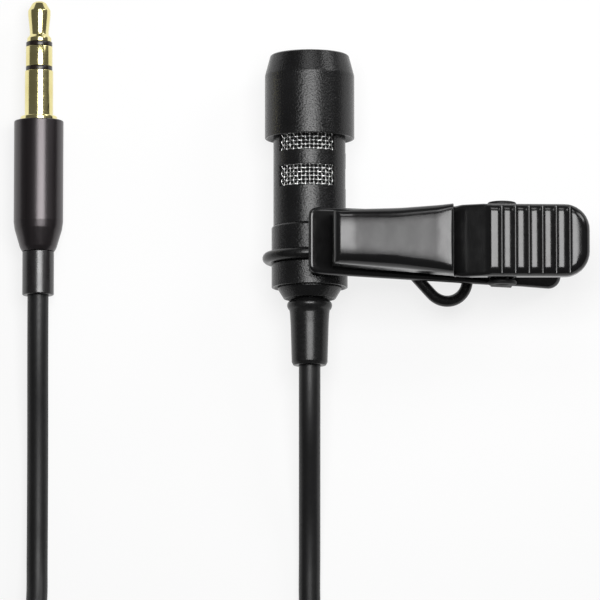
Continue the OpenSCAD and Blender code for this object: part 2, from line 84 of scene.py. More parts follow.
# ---------------------------------------------------------------- camera
TILT = math.radians(7.75)
CAMERA_FAR, FRAME_W = 0.9, 0.0736  # metres
SENSOR_W = 36
TARGET = (-15.36, -11.16, 5.8)


def make_camera():
    """The photo's view: from above, leaning by TILT towards the cord."""
    data = bpy.data.cameras.new("camera")
    camera = linked("camera", data)
    bpy.context.scene.camera = camera
    data.sensor_width = SENSOR_W
    data.lens = SENSOR_W * CAMERA_FAR / FRAME_W
    data.clip_start, data.clip_end = 0.05, 20
    back = Vector((0, -math.sin(TILT), math.cos(TILT)))
    up = Vector((0, math.cos(TILT), math.sin(TILT)))
    spot = Vector(TARGET) * MM + back * CAMERA_FAR
    camera.matrix_world = Matrix(
        (
            (1, up.x, back.x, spot.x),
            (0, up.y, back.y, spot.y),
            (0, up.z, back.z, spot.z),
            (0, 0, 0, 1),
        )
    )


make_camera()

# ---------------------------------------------------------------- material tools
NOISE_LOW, NOISE_HIGH = 0.3, 0.7  # where nearly all of a noise lies
NOISE_ROUGHNESS = 0.55
MIX_A, MIX_B, MIX_RESULT = 6, 7, 2  # the colour sockets of a Mix node


class Look:
    """A Principled material and its nodes."""

    def __init__(self, name, color, sockets):
        self.material = bpy.data.materials.new(name)
        self.material.use_nodes = True
        self.tree = self.material.node_tree
        self.shader = self.tree.nodes["Principled BSDF"]
        self.shader.inputs["Base Color"].default_value = (*color, 1)
        for key, value in sockets.items():
            self.shader.inputs[key].default_value = value
        self.place = self.add("ShaderNodeTexCoord").outputs["Object"]

    def add(self, kind, links=(), values=()):
        node = self.tree.nodes.new(kind)
        for socket, source in dict(links).items():
            self.tree.links.new(source, node.inputs[socket])
        for socket, value in dict(values).items():
            node.inputs[socket].default_value = value
        return node

    def noise(self, scale, detail, stretch=(1, 1, 1)):
        mapped = self.add("ShaderNodeMapping", {"Vector": self.place}, {"Scale": stretch})
        values = {"Scale": scale, "Detail": detail, "Roughness": NOISE_ROUGHNESS}
        node = self.add("ShaderNodeTexNoise", {"Vector": mapped.outputs[0]}, values)
        return node.outputs["Fac"]

    def spread(self, noise, low=0.0, high=1.0):
        """A noise run out to the range from low to high."""
        values = {"From Min": NOISE_LOW, "From Max": NOISE_HIGH, "To Min": low, "To Max": high}
        return self.add("ShaderNodeMapRange", {"Value": noise}, values).outputs["Result"]

    def tint(self, noise, dark, light):
        node = self.add("ShaderNodeMix")
        node.data_type = "RGBA"
        self.tree.links.new(self.spread(noise), node.inputs["Factor"])
        node.inputs[MIX_A].default_value = (*dark, 1)
        node.inputs[MIX_B].default_value = (*light, 1)
        self.tree.links.new(node.outputs[MIX_RESULT], self.shader.inputs["Base Color"])

    def rough(self, noise, low, high):
        self.tree.links.new(self.spread(noise, low, high), self.shader.inputs["Roughness"])

    def bump(self, noise, strength, distance):
        values = {"Strength": strength, "Distance": distance}
        node = self.add("ShaderNodeBump", {"Height": noise}, values)
        self.tree.links.new(node.outputs["Normal"], self.shader.inputs["Normal"])


def make_look(name, color, tint, rough, bump, grain, cloud=None, skin=None, **sockets):
    """A finish from noises (scale, detail, stretch).

    The grain carries roughness, and colour and bump too unless cloud and skin are given.
    Tint is the darkest and lightest colour, and bump a strength and a distance in metres.
    """
    look = Look(name, color, {key.replace("_", " "): value for key, value in sockets.items()})
    grain = look.noise(*grain)
    look.tint(look.noise(*cloud) if cloud else grain, *tint)
    look.rough(grain, *rough)
    look.bump(look.noise(*skin) if skin else grain, *bump)
    return look.material


LOOK_ROWS = {
    "black_metal": dict(
        color=(0.006, 0.006, 0.0062),
        tint=((0.0045, 0.0045, 0.0047), (0.0085, 0.0085, 0.0088)),
        grain=(4600, 3), cloud=(240, 3),
        rough=(0.15, 0.33), bump=(0.8, 0.00005), Specular_IOR_Level=0.36,
    ),
    "clip_enamel": dict(
        color=(0.004, 0.004, 0.0042),
        tint=((0.0032, 0.0032, 0.0034), (0.0056, 0.0056, 0.0058)),
        grain=(900, 2), cloud=(150, 3),
        rough=(0.15, 0.21), bump=(0.10, 0.00003), Specular_IOR_Level=0.5,
    ),
    "pressed_edge": dict(
        color=(0.005, 0.005, 0.0052),
        tint=((0.004, 0.004, 0.0042), (0.0065, 0.0065, 0.0068)),
        grain=(2400, 3),
        rough=(0.5, 0.66), bump=(0.2, 0.00002), Specular_IOR_Level=0.35,
    ),
    "black_wire": dict(
        color=(0.005, 0.005, 0.0052),
        tint=((0.0035, 0.0035, 0.0037), (0.0065, 0.0065, 0.0068)),
        grain=(1500, 3),
        rough=(0.2, 0.32), bump=(0.15, 0.00003), Specular_IOR_Level=0.4,
    ),
    "boot_rubber": dict(
        color=(0.010, 0.010, 0.0103),
        tint=((0.0060, 0.0060, 0.0062), (0.0105, 0.0105, 0.0108)),
        grain=(2600, 4),
        rough=(0.26, 0.31), bump=(0.05, 0.00003), Specular_IOR_Level=0.42,
    ),
    "cord_jacket": dict(
        color=(0.010, 0.010, 0.0103),
        tint=((0.0078, 0.0078, 0.008), (0.0125, 0.0125, 0.013)),
        grain=(2200, 4), cloud=(90, 2),
        rough=(0.36, 0.46), bump=(0.1, 0.00002), Specular_IOR_Level=0.34,
    ),
    "plug_barrel": dict(
        color=(0.007, 0.0055, 0.0062),
        tint=((0.0038, 0.0028, 0.0033), (0.0068, 0.0052, 0.0059)),
        grain=(1400, 3, (1, 0.03, 1)), skin=(3000, 3),
        rough=(0.27, 0.33), bump=(0.12, 0.00003), Specular_IOR_Level=0.8,
        Specular_Tint=(1.0, 0.92, 0.95, 1),
    ),
    "neck_metal": dict(
        color=(0.007, 0.006, 0.0065),
        tint=((0.0050, 0.0042, 0.0046), (0.0085, 0.0072, 0.0078)),
        grain=(2600, 3, (1, 0.2, 1)),
        rough=(0.26, 0.34), bump=(0.08, 0.00002), Specular_IOR_Level=0.65, IOR=1.6,
    ),
    "gold_contact": dict(
        color=(0.86, 0.72, 0.36),
        tint=((0.80, 0.70, 0.31), (0.90, 0.82, 0.42)),
        grain=(900, 2, (0.05, 6, 0.05)), cloud=(300, 3),
        rough=(0.12, 0.2), bump=(0.08, 0.00002), Metallic=1.0,
    ),
    "dark_insulator": dict(
        color=(0.012, 0.008, 0.006),
        tint=((0.010, 0.006, 0.004), (0.017, 0.011, 0.008)),
        grain=(800, 3),
        rough=(0.2, 0.3), bump=(0.1, 0.00002), Specular_IOR_Level=0.6,
    ),
    "steel_mesh": dict(
        color=(0.62, 0.62, 0.62),
        tint=((0.52, 0.52, 0.52), (0.78, 0.78, 0.77)),
        grain=(4000, 2),
        rough=(0.22, 0.33), bump=(0.1, 0.00001), Metallic=1.0,
    ),
    "felt": dict(
        color=(0.010, 0.010, 0.010),
        tint=((0.004, 0.004, 0.004), (0.02, 0.02, 0.02)),
        grain=(5000, 5),
        rough=(0.8, 0.95), bump=(0.8, 0.00008), Specular_IOR_Level=0.2,
    ),
    "crimp_steel": dict(
        color=(0.5, 0.5, 0.5),
        tint=((0.42, 0.42, 0.42), (0.58, 0.58, 0.57)),
        grain=(2500, 3),
        rough=(0.25, 0.4), bump=(0.1, 0.00001), Metallic=1.0,
    ),
    "capsule_metal": dict(
        color=(0.7, 0.71, 0.72),
        tint=((0.62, 0.63, 0.64), (0.78, 0.79, 0.80)),
        grain=(1500, 3),
        rough=(0.3, 0.45), bump=(0.1, 0.00001), Metallic=1.0,
    ),
    "board": dict(
        color=(0.02, 0.16, 0.06),
        tint=((0.015, 0.13, 0.045), (0.03, 0.19, 0.075)),
        grain=(3500, 2),
        rough=(0.3, 0.45), bump=(0.2, 0.00002),
    ),
    "copper": dict(
        color=(0.6, 0.28, 0.14),
        tint=((0.5, 0.22, 0.10), (0.68, 0.34, 0.18)),
        grain=(2500, 3),
        rough=(0.3, 0.45), bump=(0.1, 0.00001), Metallic=1.0,
    ),
}
LOOKS = {name: make_look(name, **row) for name, row in LOOK_ROWS.items()}

HIDDEN_LOOKS = {
    "capsule_can": "capsule_metal",
    "capsule_felt": "felt",
    "capsule_sleeve": "boot_rubber",
    "circuit_board": "board",
    "lead_wires": "copper",
    "cable_crimp": "crimp_steel",
    "mic_cable_end": "cord_jacket",
    "plug_leads": "copper",
    "plug_crimp": "crimp_steel",
    "plug_cable_end": "cord_jacket",
}
for node_name, look_name in HIDDEN_LOOKS.items():
    node_mesh = nodes[node_name].data
    node_mesh.materials.clear()
    node_mesh.materials.append(LOOKS[look_name])


# ---------------------------------------------------------------- mesh tools
SAME_POINT, THIN_EDGE = 1e-7, 1e-8  # metres
ON_AXIS = 1e-6
CORNER_SHARE = 0.49  # of its shorter side that a rounded corner may take
EDGE_SHARE = 0.8  # of the half width that a rounded edge may take
WIRE_END = (0.5, 1.0, 1.35)  # angles at which a wire's rounded end is drawn


def piece(name, points, faces, look, body, replaced=(), slot=None, sharp=38):
    """A mesh from points in mm, shaded smooth but for edges sharper than `sharp` degrees."""
    mesh = bpy.data.meshes.new(name)
    mesh.from_pydata([tuple(p) for p in np.asarray(points, float) * MM], [], faces)
    bm = bmesh.new()
    bm.from_mesh(mesh)
    bmesh.ops.remove_doubles(bm, verts=bm.verts, dist=SAME_POINT)
    bmesh.ops.dissolve_degenerate(bm, edges=bm.edges, dist=THIN_EDGE)
    bmesh.ops.recalc_face_normals(bm, faces=bm.faces)
    limit = math.radians(sharp)
    for face in bm.faces:
        face.smooth = True
    for edge in bm.edges:
        if len(edge.link_faces) == 2 and edge.calc_face_angle(0) > limit:
            edge.smooth = False
    bm.to_mesh(mesh)
    bm.free()
    mesh.materials.append(LOOKS[look])
    obj = linked(name, mesh)
    weight = obj.modifiers.new("even_normals", "WEIGHTED_NORMAL")
    weight.keep_sharp = True
    slot or look
    if body:
        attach(obj, body)
    if replaced:
        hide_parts(*replaced)
    return obj


def joined(parts):
    """Several (points, faces) as one."""
    points, faces, start = [], [], 0
    for pts, fcs in parts:
        points.append(np.asarray(pts, float))
        faces += [[i + start for i in f] for f in fcs]
        start += len(pts)
    return np.concatenate(points), faces


def about(origin, station, radius, angle):
    """A point round an axis that runs from origin along -Y. Angle 0 is +X, 90 degrees is up."""
    x, y, z = origin
    return (x + radius * math.cos(angle), y - station, z + radius * math.sin(angle))


def full_turn(count):
    """Angles evenly round a circle."""
    return [2 * math.pi * k / count for k in range(count)]


def rounded(corners, closed=False, steps=5):
    """Points of a 2D line whose corners (a, b, radius) are rounded off."""
    pts = [tuple(c) + (0,) * (3 - len(c)) for c in corners]
    n = len(pts)
    out = []
    for i, (a, b, r) in enumerate(pts):
        here = np.array((a, b), float)
        if r <= 0 or (not closed and i in (0, n - 1)):
            out.append(here)
            continue
        before = np.array(pts[i - 1][:2], float) - here
        after = np.array(pts[(i + 1) % n][:2], float) - here
        room = CORNER_SHARE * min(np.linalg.norm(before), np.linalg.norm(after))
        before /= np.linalg.norm(before)
        after /= np.linalg.norm(after)
        half = math.acos(max(-1, min(1, before @ after))) / 2
        reach = min(r / math.tan(half), room)
        middle = (before + after) / np.linalg.norm(before + after)
        radius = reach * math.tan(half)
        centre = here + middle * (radius / math.sin(half))
        start, end = here + before * reach - centre, here + after * reach - centre
        turn = math.acos(max(-1, min(1, (start @ end) / radius**2)))
        for k in range(steps + 1):
            t = k / steps
            arm = math.sin((1 - t) * turn) * start + math.sin(t * turn) * end
            out.append(centre + arm / math.sin(turn))
    return out


def turned(corners, origin, closed=True, around=96):
    """A turned solid. Corners are (station, radius, corner radius)."""
    points, rings = [], []
    for s, r in rounded(corners, closed):
        if abs(r) < ON_AXIS:
            rings.append([len(points)] * around)
            points.append(about(origin, s, 0, 0))
        else:
            rings.append(list(range(len(points), len(points) + around)))
            points += [about(origin, s, r, a) for a in full_turn(around)]
    faces = []
    pairs = list(zip(rings, rings[1:])) + ([(rings[-1], rings[0])] if closed else [])
    for lower, upper in pairs:
        for k in range(around):
            m = (k + 1) % around
            face = [lower[k], lower[m], upper[m], upper[k]]
            face = [v for i, v in enumerate(face) if v != face[i - 1]]
            if len(face) > 2:
                faces.append(face)
    return points, faces


def ring_faces(count, sides):
    """Faces of a tube of `count` rings with `sides` points each, closed at both ends."""
    faces = []
    for i in range(count - 1):
        low, high = i * sides, (i + 1) * sides
        for k in range(sides):
            m = (k + 1) % sides
            faces.append([low + k, low + m, high + m, high + k])
    last = (count - 1) * sides
    faces.append(list(range(sides))[::-1])
    faces.append([last + k for k in range(sides)])
    return faces


def wire(path, radius, sides=16, round_ends=True):
    """A round wire along the path's points."""
    path = np.asarray(path, float)
    heads = np.gradient(path, axis=0)
    heads /= np.linalg.norm(heads, axis=1)[:, None]
    side = np.cross(heads[0], (0.3, 0.2, 1))  # any way that isn't along the wire
    side /= np.linalg.norm(side)
    rings = []
    for spot, head in zip(path, heads):
        side = side - (side @ head) * head
        side /= np.linalg.norm(side)
        rings.append((spot, side.copy(), np.cross(head, side), radius))
    if round_ends:
        first, last = [
            [
                (ring[0] + head * radius * math.sin(a), ring[1], ring[2], radius * math.cos(a))
                for a in WIRE_END
            ]
            for ring, head in ((rings[0], -heads[0]), (rings[-1], heads[-1]))
        ]
        rings = first[::-1] + rings + last
    points = [
        spot + r * (math.cos(a) * side + math.sin(a) * over)
        for spot, side, over, r in rings
        for a in full_turn(sides)
    ]
    return points, ring_faces(len(rings), sides)


def border_of(m, n):
    """The indices round the edge of an (m, n) grid."""
    return (
        [j for j in range(n)]
        + [i * n + n - 1 for i in range(1, m)]
        + [(m - 1) * n + j for j in range(n - 2, -1, -1)]
        + [i * n for i in range(m - 2, 0, -1)]
    )


def take_border(grid):
    """What a grid holds round its edge."""
    m, n = grid.shape[:2]
    return grid.reshape(m * n, *grid.shape[2:])[border_of(m, n)]


def grid_solid(outer, inner, loops):
    """A closed solid between two grids (m, n, 3), with loops of points between their borders."""
    m, n = outer.shape[:2]
    count = m * n
    points = [outer.reshape(-1, 3), inner.reshape(-1, 3)]
    faces = []
    for i in range(m - 1):
        for j in range(n - 1):
            a = i * n + j
            faces.append([a, a + 1, a + n + 1, a + n])
            faces.append([count + a, count + a + n, count + a + n + 1, count + a + 1])
    border = border_of(m, n)
    size = len(border)
    rows = [border]
    start = 2 * count
    for loop in loops:
        points.append(np.asarray(loop, float))
        rows.append(list(range(start, start + size)))
        start += size
    rows.append([count + b for b in border])
    for low, high in zip(rows, rows[1:]):
        for k in range(size):
            o = (k + 1) % size
            faces.append([low[k], high[k], high[o], low[o]])
    return np.concatenate(points), faces


def edge_distance(x, y, xs, ws):
    """Distance from each (x, y) to the outline |y| = ws(xs), closed at both ends."""
    line = np.concatenate([[[xs[0], 0]], np.stack([xs, ws], 1), [[xs[-1], 0]]])
    p = np.stack([x.ravel(), np.abs(y).ravel()], 1)
    best = np.full(len(p), 1e9)
    for start, end in zip(line, line[1:]):
        d = end - start
        t = np.clip(((p - start) @ d) / max(d @ d, 1e-12), 0, 1)
        best = np.minimum(best, np.linalg.norm(p - start - t[:, None] * d, axis=1))
    return best.reshape(x.shape)


def roll_off(d, r):
    """How far a rounded edge of radius r has dropped at distance d from the outline."""
    inside = np.clip(r - d, 0, r)
    return r - np.sqrt(np.maximum(r * r - inside * inside, 0))


def by_knots(x, pairs):
    """The value at x on the straight pieces between (x, value) pairs."""
    return np.interp(x, *np.array(pairs).T)


def smooth_line(knots, width, step=0.02, margin=4):
    """A function through straight pieces between knots, with its corners smoothed over width."""
    kx, kz = zip(*knots)
    xs = np.arange(kx[0] - margin, kx[-1] + margin, step)
    zs = np.interp(xs, kx, kz)
    lead = (kz[1] - kz[0]) / (kx[1] - kx[0])
    tail = (kz[-1] - kz[-2]) / (kx[-1] - kx[-2])
    zs = np.where(xs < kx[0], kz[0] + lead * (xs - kx[0]), zs)
    zs = np.where(xs > kx[-1], kz[-1] + tail * (xs - kx[-1]), zs)
    size = max(1, int(width / step / 2))
    kernel = np.ones(size) / size
    for _ in range(2):
        zs = np.convolve(np.pad(zs, size, mode="edge"), kernel, mode="same")[size:-size]
    return lambda x: np.interp(x, xs, zs)


def clip_place(x, y, z):
    """Points of the clip in the frame."""
    return np.stack([x + MIC_X, y + CLIP_Y, z], -1)


# ---------------------------------------------------------------- cord
MIC_RUN = [
    (-14.18, -19.25, 5.8), (-14.18, -22, 5.8), (-14.18, -27, 5.2), (-14.18, -32, 3.7),
    (-14.18, -37, 2.2), (-14.18, -42, 1.5), (-14.18, -48, 1.4), (-13.9, -54, 1.4),
    (-12.4, -60, 1.4), (-10.9, -66, 1.4), (-10.5, -69.5, 1.4), (-10.5, -71.35, 1.4),
]
PLUG_RUN = [
    (-47.6, -10.2, 3.05), (-47.6, -14, 3.05), (-47.6, -20, 2.6), (-47.6, -26, 1.8),
    (-47.6, -32, 1.4), (-47.6, -38, 1.4), (-47.6, -43, 1.6), (-47.6, -48, 2.7),
    (-48, -53, 4.9), (-49.2, -58, 7.5), (-50.6, -63, 9.7), (-51.3, -67.5, 10.7),
    (-51.3, -71.35, 10.7),
]
COIL_X, COIL_Y, COIL_Z, COIL_R = -30.9, -74, 1.4, 20.4
COIL_PITCH, COIL_TURNS, COIL_LAYERS = 3.1, 10.5, 4
TURN_POINTS = 24
LAYER_TURNS = COIL_TURNS / COIL_LAYERS
CLIMB_TURNS = 0.5  # over which the coil climbs to its next layer


def coil_point(turn):
    """The coil's turns run inwards in one layer and outwards in the next."""
    part = turn % (2 * LAYER_TURNS)
    inward = part if part < LAYER_TURNS else 2 * LAYER_TURNS - part
    layer = sum(
        min(1, max(0, (turn - change * LAYER_TURNS) / CLIMB_TURNS + 0.5))
        for change in range(1, COIL_LAYERS)
    )
    r = COIL_R - COIL_PITCH * inward
    a = 2 * math.pi * turn
    return (
        COIL_X + r * math.cos(a),
        COIL_Y - r * math.sin(a),
        COIL_Z + COIL_PITCH * layer,
    )


def make_cord():
    """The whole cord as one curve: from the boot, round the coil and to the plug."""
    steps = int(COIL_TURNS * TURN_POINTS)
    route = MIC_RUN + [coil_point(i / TURN_POINTS) for i in range(steps + 1)] + PLUG_RUN[::-1]
    data = bpy.data.curves.new("cord", "CURVE")
    data.dimensions = "3D"
    data.bevel_depth = CORD_D / 2 * MM
    data.bevel_resolution = 5
    data.resolution_u = 4
    data.use_fill_caps = True
    spline = data.splines.new("BEZIER")
    spline.bezier_points.add(len(route) - 1)
    for point, at in zip(spline.bezier_points, route):
        point.co = Vector(at) * MM
        point.handle_left_type = point.handle_right_type = "AUTO"
    data.materials.append(LOOKS["cord_jacket"])
    obj = linked("cord", data)
    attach(obj, "mic")
    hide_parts("cord_mic_run", "cord_coil", "cord_plug_run")
    return obj


cord = make_cord()


# ---------------------------------------------------------------- microphone
def make_cap():
    """The cap: a closed shell, tapered towards its front."""
    corners = [
        (0, 0), (0, 4.62, 0.2), (0.14, 4.84, 0.25), (2.6, 5.5, 1.0), (10.43, 5.5, 0.22),
        (10.43, 5.26, 0.08), (9.65, 4.5, 0.1), (1.2, 4.5, 0.3), (1.2, 0),
    ]
    piece("cap_shell", *turned(corners, MIC, closed=False), "black_metal", "cap", ["cap"])


def make_tube():
    """The tube with its windows: a sheet of cells round the axis, thickened inwards."""
    inner, outer, bevel = 4.08, 4.45, 0.06
    cell = 2  # degrees
    rows = ((9.68, 12.28), (14.1, 16.7))
    windows = ((46, 148), (188, 268), (286, 369))  # degrees
    stations = sorted({1.5, 5.5, 11, 13.19, 15.4, 19, 21.3, *rows[0], *rows[1]})
    angles = range(0, 360, cell)
    bm = bmesh.new()
    rings = [
        [bm.verts.new(about(MIC, s, outer, math.radians(a))) for a in angles] for s in stations
    ]
    for i, (s0, s1) in enumerate(zip(stations, stations[1:])):
        open_row = any(low < (s0 + s1) / 2 < high for low, high in rows)
        for k, a in enumerate(angles):
            middles = (a + cell / 2, a + cell / 2 + 360)
            if open_row and any(low < v < high for low, high in windows for v in middles):
                continue
            m = (k + 1) % len(angles)
            bm.faces.new([rings[i][k], rings[i][m], rings[i + 1][m], rings[i + 1][k]])
    for v in [v for v in bm.verts if not v.link_faces]:
        bm.verts.remove(v)
    bmesh.ops.recalc_face_normals(bm, faces=bm.faces)
    mesh = bpy.data.meshes.new("tube_shell")
    bm.to_mesh(mesh)
    bm.free()
    mesh.transform(Matrix.Scale(MM, 4))
    for polygon in mesh.polygons:
        polygon.use_smooth = True
    mesh.materials.append(LOOKS["black_metal"])
    obj = linked("tube_shell", mesh)
    wall = obj.modifiers.new("wall", "SOLIDIFY")
    wall.thickness = (outer - inner) * MM
    wall.offset = -1
    round_off = obj.modifiers.new("round_off", "BEVEL")
    round_off.width = bevel * MM
    round_off.segments = 3
    round_off.limit_method = "ANGLE"
    round_off.angle_limit = math.radians(40)
    round_off.harden_normals = True
    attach(obj, "mic")
    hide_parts("body_tube")


def make_grille():
    """Woven wire behind the windows, on a dark liner of acoustic cloth."""
    start, end = 9.2, 17.0
    columns, rows = 48, 16
    wire_r, sway, mid = 0.085, 0.09, 3.88
    sides, fine = 5, 3
    step = (end - start) / rows
    parts = []
    for column, a in enumerate(full_turn(columns)):
        path = []
        for k in range(rows * fine + 1):
            r = mid + sway * math.cos(math.pi * (k / fine + column))
            path.append(about(MIC, start + k * step / fine, r, a))
        parts.append(wire(path, wire_r, sides, round_ends=False))
    count = columns * fine
    faces = []
    for k in range(count):
        m = (k + 1) % count
        for q in range(sides):
            w = (q + 1) % sides
            faces.append([k * sides + q, m * sides + q, m * sides + w, k * sides + w])
    along = np.array((0, 1, 0))
    for row in range(1, rows):
        points = []
        for k, a in enumerate(full_turn(count)):
            r = mid - sway * math.cos(math.pi * (k / fine + row))
            spot = np.array(about(MIC, start + row * step, r, a))
            out = np.array((math.cos(a), 0, math.sin(a)))
            points += [
                spot + wire_r * (math.cos(t) * out + math.sin(t) * along)
                for t in full_turn(sides)
            ]
        parts.append((points, faces))
    weave = joined(parts)
    piece("grille_weave", *weave, "steel_mesh", "mic", ["grille_mesh"], sharp=80)
    liner = [
        (2.0, 0), (2.0, 3.68, 0.1), (17.05, 3.68, 0.1), (17.05, 3.5, 0.05),
        (2.2, 3.5, 0.05), (2.2, 0),
    ]
    piece("grille_liner", *turned(liner, MIC, closed=False), "felt", "mic")


def make_rear():
    """The barrel with the ring's groove, the cone behind it and the rubber boot."""
    collar = [
        (20.05, 3.83, 0.05), (21.3, 3.83), (21.3, 4.43, 0.05), (21.55, 4.67, 0.15),
        (24.52, 4.67, 0.08), (24.52, 4.35, 0.06), (26.02, 4.35, 0.06),
        (26.02, 4.67, 0.08), (28.9, 4.67, 0.08), (28.9, 4.4), (28.5, 3.95),
        (28.5, 3.2, 0.06), (20.05, 3.2, 0.05),
    ]
    piece("collar_barrel", *turned(collar, MIC), "black_metal", "mic", ["collar"])
    cone = [
        (27.4, 3.18, 0.05), (28.52, 3.18), (28.52, 3.92, 0.04), (29.04, 3.92, 0.06),
        (30.33, 3.15, 0.08), (29.5, 2.4), (29.5, 1.95), (28.55, 1.95), (28.55, 2.2),
        (27.4, 2.2, 0.05),
    ]
    piece("rear_cone", *turned(cone, MIC), "black_metal", "mic", ["rear_cap"])
    bulge_s, bulge_r, bulge_high = 31.05, 1.95, 0.82
    bulge_front, bulge_rear = 0.6, 1.4  # half its length in front, and how much longer behind
    boot = [(28.55, 1.36), (28.55, 1.88), (30.35, 1.88), (30.35, 2.3)]
    for a in np.radians(np.arange(-60, 51, 10)):
        s = bulge_s + bulge_front * math.sin(a) * (1 if a < 0 else bulge_rear)
        boot.append((s, bulge_r + bulge_high * math.cos(a)))
    boot += [
        (32.1, 2.42, 0.6), (33.4, 2.34, 2), (38.1, 2.2, 0.3), (38.5, 2.0, 0.15), (38.5, 1.36),
    ]
    piece("boot_sleeve", *turned(boot, MIC), "boot_rubber", "mic", ["cable_boot"])


make_cap()
make_tube()
make_grille()
make_rear()


# ---------------------------------------------------------------- clip
def edge_steps(count=6):
    """Shares of an edge's radius at which its roll-off is drawn."""
    return [1 - math.cos(math.pi / 2 * k / count) for k in range(count + 1)]


def in_order(stations, low, high, apart):
    """The stations from low to high, without those closer than apart to the one before."""
    stations = sorted({round(s, 4) for s in stations if low <= s <= high})
    return [s for i, s in enumerate(stations) if i == 0 or s - stations[i - 1] > apart]


def narrowed(width, depth, corner):
    """A plan outline's half width at a depth into its rounded corners."""
    depth = np.clip(depth, 0, corner)
    return width - corner + math.sqrt(max(corner**2 - depth**2, 0))


def slab_grid(stations, half_width, radius, middle):
    """x and y of a grid over a plan outline, close together near the outline."""
    shares = edge_steps()
    cols = []
    for x in stations:
        w, r = half_width(x), min(radius(x), half_width(x) * EDGE_SHARE)
        near = [w - r * s for s in shares]
        inner = np.linspace(near[-1], -near[-1], middle + 1)[1:-1]
        cols.append(near + list(inner) + [-v for v in reversed(near)])
    y = np.array(cols)
    x = np.repeat(np.array(stations)[:, None], y.shape[1], 1)
    return x, y


def plate(outline, y0, y1, bevel, steps=3):
    """A flat plate of convex outline (x, z) between y0 and y1, with its edges rounded off."""
    line = np.array(outline, float)
    tangent = np.roll(line, -1, 0) - np.roll(line, 1, 0)
    normal = np.stack([tangent[:, 1], -tangent[:, 0]], 1)
    normal /= np.linalg.norm(normal, axis=1)[:, None]
    if ((line - line.mean(0)) * normal).sum() < 0:
        normal = -normal
    low, high = min(y0, y1), max(y0, y1)
    rows = []
    for k in range(steps + 1):
        a = math.pi / 2 * k / steps
        rows.append((low + bevel * (1 - math.cos(a)), bevel * (1 - math.sin(a))))
    rows += [(high - (y - low), inset) for y, inset in reversed(rows)]
    points = []
    for y, inset in rows:
        ring = line - normal * inset
        points += [(px + MIC_X, y + CLIP_Y, pz) for px, pz in ring]
    return points, ring_faces(len(rows), len(line))


LEVER_TOP = rounded(
    [(2.4, 16.76), (5.0, 16.68, 4.0), (7.7, 16.219, 150), (10.45, 15.78, 150),
     (13.2, 15.371, 150), (15.9, 15.0, 2.0), (17.5, 14.86, 0.3), (17.64, 11.9, 0),
     (21.6, 13.2, 0.4), (22.05, 13.56, 0.35), (34.3, 13.25)],
    steps=8,
)
LEVER_WIDTHS = [(2.75, 3.25), (11.25, 3.72), (17.4, 4.28), (18.6, 4.46), (21.9, 4.46), (40, 4.44)]
LEVER_EDGES = [
    (2.9, 0.9), (3.9, 1.0), (10, 1.25), (15.5, 1.05), (17.2, 0.8), (18.3, 0.5), (21.2, 0.5),
    (22.2, 1.05), (34.2, 1.05),
]
LEVER_RIM = [(2.75, 12.0), (4.15, 11.52), (4.75, 11.3), (40, 11.3)]
FACE_CROWN, CROWN_SHARES = 0.36, [(4, 1), (10, 1), (16, 1), (19, 0.2), (22, 0.12)]
GROOVE_PITCH, GROOVE_HALF, GROOVE_DEEP = 1.66, 0.29, 0.36
GROOVE_FLAT = 0.62  # over 0.5, so that the groove has a flat bottom
GROOVES = [23.4 + GROOVE_PITCH * i for i in range(6)]
RIB_CROWN, RIB_FLAT = 0.03, 0.1
RIBS_START = GROOVES[0] - 1.6
FADE_FROM, FADE_OVER = 0.15, 0.75  # the distance from the outline over which the ribs set in


def ribbed(x, z, d):
    """The pad's grooves cut into z, and its ribs crowned, both fading towards the outline."""
    dent = np.zeros_like(z)
    for g in GROOVES:
        t = np.clip(np.abs(x - g) / GROOVE_HALF, 0, 1)
        groove = np.minimum(GROOVE_FLAT + GROOVE_FLAT * np.cos(np.pi * t), 1) * (t < 1)
        dent = np.maximum(dent, groove)
    fade = np.clip((d - FADE_FROM) / FADE_OVER, 0, 1)
    fade = fade * fade * (3 - 2 * fade)
    z = z - GROOVE_DEEP * dent * fade
    across = ((x - GROOVES[0]) % GROOVE_PITCH) / (GROOVE_PITCH / 2) - 1
    crown = np.clip((np.abs(across) - RIB_FLAT) / (1 - RIB_FLAT), 0, 1) ** 2
    return z - RIB_CROWN * crown * fade * (x > RIBS_START)


